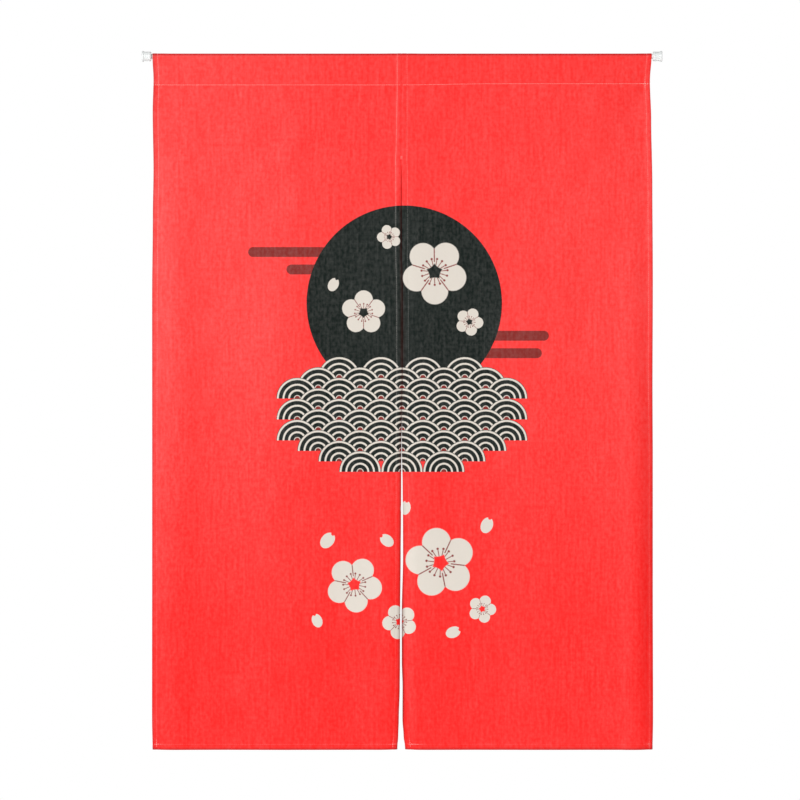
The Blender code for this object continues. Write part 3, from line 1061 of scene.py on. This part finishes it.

# Painted light: how much paler the red is painted where more light should fall, from one place to another,
# and from one share to another.
UNEVEN_CELLS, UNEVEN_BY = (8.0, 5.0, 1.0), 0.2
PAINTED_LIGHT_LEFT = (-0.30, -0.08, 1.0, 0.5)
PAINTED_LIGHT_RIGHT = (0.05, 0.30, 0.5, 0.85)
PAINTED_LIGHT_POCKET = (POCKET_DROP - 0.0005, POCKET_DROP + 0.0005, 1.0, 0.0)
POCKET_LESS_LIGHT = (0.05, 0.30, 1.0, 0.68)
PAINTED_LIGHT_DOWN = (0.04, 0.30, 0.62, 1.0)
LESS_LIGHT_DOWN = (0.48, 1.0, 1.0)
PAINTED_LIGHT_AT_HEM = (0.05, 0.25, 0.04, 0.21)
LESS_LIGHT_AT_SIDE = (0.395, 0.418, 1.0, 0.0)

MOON_CENTRE = (0.004, 0.430)
MOON_RADIUS = 0.168

SCALE_RADIUS = 0.036
SEA_CENTRE = (0.0, 0.640)
SEA_REACH = (0.215, 0.098)
RIPPLE_FROM, RIPPLE_LINE, RIPPLE_PITCH = 0.93, 0.045, 0.27
CORE_RADIUS = 0.13

MIST_THICKNESS = 0.017
MIST_BARS = table(
    "across drop half_length",
    (-0.178, 0.342, 0.078), (-0.128, 0.372, 0.062), (0.172, 0.486, 0.072), (0.142, 0.516, 0.090),
)

BLOSSOMS = table(
    "across drop size turn",
    (0.056, 0.376, 0.056, 0.30), (-0.066, 0.446, 0.038, 0.95), (0.116, 0.462, 0.024, 0.10),
    (-0.022, 0.316, 0.021, 0.60), (0.066, 0.876, 0.060, 0.75), (-0.082, 0.914, 0.048, 0.20),
    (-0.004, 0.978, 0.030, 0.50), (0.138, 0.956, 0.024, 0.05),
)
PETALS = table(
    "across drop size turn",
    (-0.128, 0.838, 0.015, 0.7), (-0.026, 0.838, 0.013, -0.9), (0.146, 0.812, 0.014, 0.4),
    (-0.146, 0.976, 0.012, -0.4), (0.088, 0.996, 0.013, 1.2), (0.006, 0.782, 0.012, 0.2),
    (-0.118, 0.398, 0.012, 0.5),
)
PETAL_SLIMNESS = 0.73

# Sizes in a blossom or a loose petal of radius 1.
PETAL_AT, PETAL_RADIUS, PETAL_SOFT = 0.59, 0.41, 0.025
GAP_HALF_WIDTH, GAP_TO = 0.016, 0.30
STALK_HALF_WIDTH, STALK_SOFT, STALK_AT, STALK_HALF_LENGTH = 0.012, 0.015, 0.27, 0.10
TIP_AT, TIP_RADIUS = 0.40, 0.034
HEART_RADIUS = 0.125
NOTCH_AT, NOTCH_RADIUS, LOOSE_SOFT = 1.12, 0.36, 0.06


def nearest_motif(place, motifs, slimness=1.0):
    """The place as the nearest of several motifs sees it, in that motif's own size."""
    nearest, distance = None, None
    for motif in motifs:
        seen = seen_by(motif, place, (motif.size * slimness, motif.size))
        away = length_of(*parts_of(seen))
        if nearest is None:
            nearest, distance = seen, away
            continue
        nearest = mixed(calc("LESS_THAN", away, distance), nearest, seen, "VECTOR")
        distance = calc("MINIMUM", away, distance)
    return nearest


def blossom_masks(seen):
    """Petals and dark details of a five-petalled blossom of radius 1.

    The angle is folded into one petal's wedge, and a petal is a circle in its wedge. The details
    are the lines between the petals, fifteen stamens with round tips, and the heart.
    """
    across, down = parts_of(seen)
    reach = length_of(across, down)
    angle = calc("ARCTAN2", down, across)
    in_wedge, in_stamen = wrapped(angle, pi / 5), wrapped(angle, pi / 15)
    petals = length_of(reach * calc("COSINE", in_wedge) - PETAL_AT, reach * calc("SINE", in_wedge))
    petals = within(petals - PETAL_RADIUS, PETAL_SOFT)
    from_gap = size_of(reach * calc("SINE", pi / 5 - size_of(in_wedge)))
    gaps = within(from_gap - GAP_HALF_WIDTH) * within(GAP_TO - reach)
    aside = reach * calc("SINE", in_stamen)
    stalks = within(size_of(aside) - STALK_HALF_WIDTH, STALK_SOFT)
    stalks = stalks * within(size_of(reach - STALK_AT) - STALK_HALF_LENGTH)
    tips = within(length_of(reach * calc("COSINE", in_stamen) - TIP_AT, aside) - TIP_RADIUS)
    heart = within(reach - HEART_RADIUS)
    return petals, petals * either(either(gaps, heart), either(stalks, tips))


def petal_mask(seen):
    """A loose petal of radius 1: a circle with a small round notch in its tip."""
    across, down = parts_of(seen)
    body = within(length_of(across, down) - 1.0, LOOSE_SOFT)
    return body * (1.0 - within(length_of(across, down + NOTCH_AT) - NOTCH_RADIUS, LOOSE_SOFT))


def mist_mask(across, down):
    """Long level bars with round ends: each is the ground within a short distance of a level line."""
    found = None
    for bar in MIST_BARS:
        past_end = calc("MAXIMUM", size_of(across - bar.across) - bar.half_length, 0.0)
        mask = within(length_of(past_end, down - bar.drop) - MIST_THICKNESS / 2, INK_EDGE)
        found = mask if found is None else either(found, mask)
    return found


def sea_masks(across, down):
    """Ground, lines and cores of a sea of overlapping round wave scales.

    Rows of circles lie half a radius apart, and every other row is shifted by a radius. A lower row
    hides the row above it, so a place belongs to the second row below it, or else to the first. A
    scale is drawn where its centre is inside the sea's oval. Its lines are evenly spaced rings.
    """
    row_pitch = SCALE_RADIUS / 2
    row_above = calc("FLOOR", down / row_pitch)
    reach, ground = None, None
    for rows_below in (1.0, 2.0):
        row = row_above + rows_below
        row_drop = row * row_pitch
        aside = wrapped(across + wrapped(row, 1.0) * SCALE_RADIUS, SCALE_RADIUS)
        centre_across = (across - aside - SEA_CENTRE[0]) / SEA_REACH[0]
        centre_down = (row_drop - SEA_CENTRE[1]) / SEA_REACH[1]
        in_sea = calc("LESS_THAN", length_of(centre_across, centre_down), 1.0)
        this_reach = length_of(aside, down - row_drop) / SCALE_RADIUS
        covered = in_sea * calc("LESS_THAN", this_reach, 1.0)
        reach = this_reach if reach is None else reach + (this_reach - reach) * covered
        ground = covered if ground is None else either(ground, covered)
    line = within(size_of(wrapped(reach - RIPPLE_FROM, RIPPLE_PITCH / 2)) - RIPPLE_LINE)
    return ground, ground * line, ground * within(reach - CORE_RADIUS)


def painted_light_mask(place, across, down):
    """Painted light: how much paler the red is painted where more light should fall: most on the pocket and
    above the middle, and more so at the sides.
    """
    uneven = (noise(place, UNEVEN_CELLS) - 0.5) * UNEVEN_BY
    pocket = carried(down, *PAINTED_LIGHT_POCKET) * carried(across, *POCKET_LESS_LIGHT)
    painted_light = either(pocket, carried(down + uneven, *PAINTED_LIGHT_DOWN))
    at_hem = carried(across + uneven, *PAINTED_LIGHT_AT_HEM) * carried(across, *LESS_LIGHT_AT_SIDE)
    painted_light = painted_light * carried(down + uneven, *LESS_LIGHT_DOWN, at_hem)
    return painted_light * either(carried(across + uneven, *PAINTED_LIGHT_LEFT), carried(across + uneven, *PAINTED_LIGHT_RIGHT))


def print_group():
    """Colour of the print at a place on the cloth: a moon over waves, mist bars and plum blossoms.

    Ink is where another colour was printed over the red. Painted light is how much paler the red is painted
    where more light should fall.
    """
    outputs = {"Colour": COLOUR, "Ink": NUMBER, "Faded": NUMBER}
    group, taken, end = new_group("moon and waves print", {"Place": VECTOR}, outputs)
    across, down = parts_of(taken["Place"])
    painted_light = painted_light_mask(taken["Place"], across, down)
    across, down = (
        part + (noise(taken["Place"], cells, FRAY_DETAIL) - 0.5) * INK_FRAY
        for part, cells in zip((across, down), FRAY_CELLS)
    )
    place = add_node(group, "CombineXYZ", {"X": across, "Y": down})
    moon = within(length_of(across - MOON_CENTRE[0], down - MOON_CENTRE[1]) - MOON_RADIUS, INK_EDGE)
    sea, sea_lines, sea_cores = sea_masks(across, down)
    petals, details = blossom_masks(nearest_motif(place, BLOSSOMS))
    loose = petal_mask(nearest_motif(place, PETALS, PETAL_SLIMNESS))
    mist, ink = mist_mask(across, down), either(moon, sea)
    colour = mixed(painted_light, PLAIN_RED, PAINTED_LIGHT_RED)
    layers = (
        (mist, DARK_RED),
        (ink, CHARCOAL),
        (sea_lines, CREAM),
        (sea_cores, DARK_RED),
        (either(petals, loose), CREAM),
        (details, DARK_RED),
    )
    for mask, layer in layers:
        colour = mixed(mask, colour, layer)
    feed(end, {"Colour": colour, "Ink": either(mist, ink), "Faded": painted_light})
    return group


# ---------------------------------------------------------------- the weave and the finishes

# The noises of the weave: cells to a metre, and shares in the undyed fibre and in the height.
WEAVE_NOISES = table(
    "cells bare height",
    ((200.0, 18.0, 1.0), 0.36, 1.0),
    ((200.0, 130.0, 1.0), 0.50, 0.9),
    ((60.0, 320.0, 1.0), 0.14, 0.6),
)
BARE_BETWEEN = (0.40, 0.70)
PATCH_CELLS, PATCH_DETAIL, PATCH_ROUGHNESS = (22.0, 9.0, 1.0), 3.0, 0.6
PATCHES = (0.3, 0.7, 0.8, 1.2)
THREAD_PITCH, THREAD_HEIGHT = 0.00062, 0.22

# Undyed fibre: how much shows where least and where most light is painted, on the wrong side, and in the
# thread.
UNDYED = (0.86, 0.83, 0.78)
BARE_SHOWS = (0.023, 0.047)
WRONG_SIDE_SHOWS = 0.30
THREAD_BARE = 0.1

# Share of the cloth's fibres that lie flat and glossy, where least and most undyed fibre shows.
SHEEN = (0.43, 0.74)
INK_SHEEN = 0.34

CLOTH_LOOKS = {"Coat IOR": 1.60, "Coat Roughness": 0.48, "Roughness": 0.75, "Specular IOR Level": 0.10}
CLOTH_BUMP = 0.00010
SEWN_LOOKS = {"Roughness": 0.6, "Specular IOR Level": 0.3}

# A hard finish: two tints, roughness, how fine its grain is, and the depth of its bumps.
HardFinish = namedtuple("HardFinish", "name tints roughness fineness bump")
WHITE_PAINTS = ((0.83, 0.83, 0.82), (0.79, 0.79, 0.78))
PALE_PLASTICS = ((0.87, 0.90, 0.89), (0.85, 0.88, 0.87))
PAINT = HardFinish("satin_white_paint", WHITE_PAINTS, 0.38, 900.0, 0.00004)
PLASTIC = HardFinish("pale_moulded_plastic", PALE_PLASTICS, 0.50, 2500.0, 0.00005)
TINT_CELLS, GRAIN_CELLS, GRAIN_DETAIL = (40.0, 40.0, 40.0), (1.0, 1.0, 1.0), 3.0
TINT_BETWEEN, GRAIN_BETWEEN = (0.35, 0.65), (0.3, 0.7)
SMOOTHER, ROUGHER = -0.05, 0.08

# Light spreads a little way under the surface of the caps, as in milky plastic.
MILKY = {"Subsurface Weight": 0.70, "Subsurface Radius": (1.0, 1.0, 1.0), "Subsurface Scale": 0.0050}


def weave_group():
    """Uneven plain weave at a place on the cloth.

    Bare is how much undyed fibre shows, around 0.5: long streaks along the warp, short ones along
    both threads, and slow patches. Height is the threads' over and under, with slubs in both.
    """
    outputs = {"Bare": NUMBER, "Height": NUMBER}
    group, taken, end = new_group("slubbed plain weave", {"Place": VECTOR}, outputs)
    place = taken["Place"]
    noises = [(noise(place, kind.cells), kind) for kind in WEAVE_NOISES]
    patches = noise(place, PATCH_CELLS, PATCH_DETAIL, PATCH_ROUGHNESS)
    bare = carried(sum(streaks * kind.bare for streaks, kind in noises), *BARE_BETWEEN)
    waves = [calc("SINE", part * (2 * pi / THREAD_PITCH)) for part in parts_of(place)]
    height = waves[0] * waves[1] * THREAD_HEIGHT + sum(streaks * kind.height for streaks, kind in noises)
    feed(end, {"Bare": bare * carried(patches, *PATCHES), "Height": height})
    return group


def grain_group():
    """Fine grain of a painted or moulded surface: a height, and a slow change of tint."""
    inputs = {"Place": VECTOR, "Fineness": NUMBER}
    group, taken, end = new_group("fine grain", inputs, {"Height": NUMBER, "Tint": NUMBER})
    fine = add_node(group, "VectorMath", {0: taken["Place"], "Scale": taken["Fineness"]}, operation="SCALE")
    height = noise(fine, GRAIN_CELLS, GRAIN_DETAIL)
    feed(end, {"Height": height, "Tint": noise(taken["Place"], TINT_CELLS)})
    return group


def new_material(name, looks):
    """A material with plain values for its looks: the material, its node tree and its Principled BSDF."""
    finish = bpy.data.materials.new(name)
    finish.use_nodes = True
    shader = finish.node_tree.nodes["Principled BSDF"]
    feed(shader, looks)
    return finish, finish.node_tree, shader


def place_on_cloth(tree):
    """The piece's own UV map: the place on the cloth, in metres."""
    return add_node(tree, "UVMap", {}, uv_map="place_on_cloth")


def attribute_of(tree, name):
    """A number kept at each point of the mesh."""
    return add_node(tree, "Attribute", {}, "Fac", attribute_name=name)


def bumped(height, distance):
    """A height as a normal, through a Bump node."""
    return add_node(height.tree, "Bump", {"Height": height, "Distance": distance})


def cloth_material(weave, printing):
    """Printed cotton and linen: the print, undyed fibre among its threads, paler on the wrong side.

    The cloth is paler in a band along each side hem's stitches, and shade is painted along the folded edges.
    """
    finish, tree, shader = new_material("printed_cotton_linen", CLOTH_LOOKS)
    place = place_on_cloth(tree)
    woven = place_group(tree, weave, Place=place)
    printed = place_group(tree, printing, Place=place)
    wrong_side, rubbed, pressed = (attribute_of(tree, name) for name in ("wrong_side", "rubbed", "pressed"))
    # Where more light is painted, more undyed fibre shows, as a painted pale sheen.
    undyed = woven["Bare"] * carried(printed["Faded"], 0.0, 1.0, *BARE_SHOWS)
    # The cloth is mixed towards undyed fibre on its wrong side and in the paler bands along the stitches.
    undyed = undyed + wrong_side * WRONG_SIDE_SHOWS + rubbed
    # Shade is painted along the folded edges by mixing towards a dark red, and the coat is thinned there
    # too.
    colour = mixed(pressed, mixed(undyed, printed["Colour"], UNDYED), PAINTED_SHADE_COLOUR)
    sheen = carried(woven["Bare"], 0.0, 1.0, *SHEEN) * carried(printed["Ink"], 0.0, 1.0, 1.0, INK_SHEEN)
    feed(shader, {"Base Color": colour, "Coat Weight": sheen * (1.0 - pressed)})
    feed(shader, {"Normal": bumped(woven["Height"], CLOTH_BUMP)})
    return finish


def thread_material(weave, printing):
    """Sewing thread that took up some of the print's dye."""
    finish, tree, shader = new_material("sewing_thread", SEWN_LOOKS)
    place = place_on_cloth(tree)
    dyed = place_group(tree, printing, Place=place)["Colour"]
    bare = place_group(tree, weave, Place=place)["Bare"]
    undyed = attribute_of(tree, "thread_share") + bare * THREAD_BARE
    feed(shader, {"Base Color": mixed(undyed, dyed, UNDYED)})
    return finish


def hard_material(grain, kind, looks=None):
    """A pale painted or moulded finish with a fine grain and a slightly uneven tint."""
    finish, tree, shader = new_material(kind.name, looks or {})
    place = add_node(tree, "TexCoord", {}, "Object")
    surface = place_group(tree, grain, Place=place, Fineness=kind.fineness)
    uneven = (kind.roughness + SMOOTHER, kind.roughness + ROUGHER)
    feed(shader, {
        "Base Color": mixed(carried(surface["Tint"], *TINT_BETWEEN), *kind.tints),
        "Roughness": carried(surface["Height"], *GRAIN_BETWEEN, *uneven),
        "Normal": bumped(surface["Height"], kind.bump),
    })
    return finish


# ---------------------------------------------------------------- camera, light and floor

PICTURE_WIDTH = 1.376
PICTURE_CENTRE = (-0.0034, -0.5909)
CAMERA_AWAY = 9.0
SENSOR_WIDTH = 36.0
KEY_LIGHT_AT = (-4.2, -8.8, 3.7)
KEY_LIGHT_SIZE = 2.9
KEY_LIGHT_POWER = 900.0
WORLD_LIGHT = 0.14
FLOOR_BELOW_ROD = 1.90
FLOOR_HALF_SIZE = 4.0
WHITE = (1.0, 1.0, 1.0, 1.0)
FLOOR_LOOKS = {
    "Base Color": (0.9, 0.9, 0.9, 1.0),
    "Roughness": 0.9,
    "Emission Color": WHITE,
    "Emission Strength": 0.50,
}


def make_camera():
    """Camera square on to the curtain, level with the middle of the picture."""
    data = bpy.data.cameras.new("front_camera")
    data.sensor_width = SENSOR_WIDTH
    data.lens = SENSOR_WIDTH * CAMERA_AWAY / PICTURE_WIDTH
    camera = add_object("front_camera", data)
    camera.location = (PICTURE_CENTRE[0], -CAMERA_AWAY, PICTURE_CENTRE[1])
    camera.rotation_euler = (pi / 2, 0.0, 0.0)
    bpy.context.scene.camera = camera


def make_key_light():
    """A square soft light aimed at the middle of the curtain, which the camera doesn't see."""
    data = bpy.data.lights.new("key_softbox", "AREA")
    data.shape = "SQUARE"
    data.size = KEY_LIGHT_SIZE
    data.energy = KEY_LIGHT_POWER
    light = add_object("key_softbox", data)
    light.location = KEY_LIGHT_AT
    aim = Vector((0.0, 0.0, PICTURE_CENTRE[1])) - Vector(KEY_LIGHT_AT)
    light.rotation_mode = "QUATERNION"
    light.rotation_quaternion = aim.to_track_quat("-Z", "Y")
    light.visible_camera = False


def make_world():
    """White surroundings: pure white where the camera sees them, dimmer as a light on the cloth."""
    world = bpy.data.worlds.new("white_studio")
    world.use_nodes = True
    seen = add_node(world.node_tree, "LightPath", {}, "Is Camera Ray")
    strength = carried(seen, 0.0, 1.0, WORLD_LIGHT, 1.0)
    feed(world.node_tree.nodes["Background"], {"Color": WHITE, "Strength": strength})
    bpy.context.scene.world = world


def make_floor():
    """A pale floor at a doorway's depth below the rod, bright enough to melt into the surroundings."""
    half = FLOOR_HALF_SIZE
    corners = [(-half, -half), (half, -half), (half, half), (-half, half)]
    points = np.array([(*corner, -FLOOR_BELOW_ROD) for corner in corners])
    finish = new_material("pale_floor", FLOOR_LOOKS)[0]
    add_piece("studio_floor", points, np.array([(0, 1, 2, 3)]), finish)


# ---------------------------------------------------------------- the whole curtain

RANDOM_SEED = 11


def finish_piece(piece, slot, *nodes):
    """A piece rides with the curtain's one body, and stands for its solids. Its slot is not used."""
    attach(piece, "root")
    if nodes:
        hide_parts(*nodes)
    return piece


def make_curtain():
    """All pieces of the curtain, in place on the rod."""
    weave, printing, grain = weave_group(), print_group(), grain_group()
    cotton = cloth_material(weave, printing)
    thread = thread_material(weave, printing)
    plastic = hard_material(grain, PLASTIC, MILKY)
    jitter = np.random.default_rng(RANDOM_SEED)
    finish_piece(make_rod(hard_material(grain, PAINT)), "rod", "rod")
    for side in ("left", "right"):
        finish_piece(make_cap(side, plastic), "cap", "rod_cap_" + side)
    strips = {panel: make_strip(panel) for panel in ("left", "right")}
    joining = make_stitches("joining_stitches", joining_runs(strips["left"]), thread, jitter)
    finish_piece(joining, "cloth")
    for panel, strip in strips.items():
        cloth = finish_piece(make_cloth(panel, strip, cotton), "cloth", panel + "_panel")
        sewing = make_stitches(panel + "_stitches", hem_runs(panel, strip), thread, jitter)
        finish_piece(sewing, "cloth")


make_camera()
make_world()
make_floor()
make_key_light()
make_curtain()
bpy.context.scene.view_settings.view_transform = "Standard"
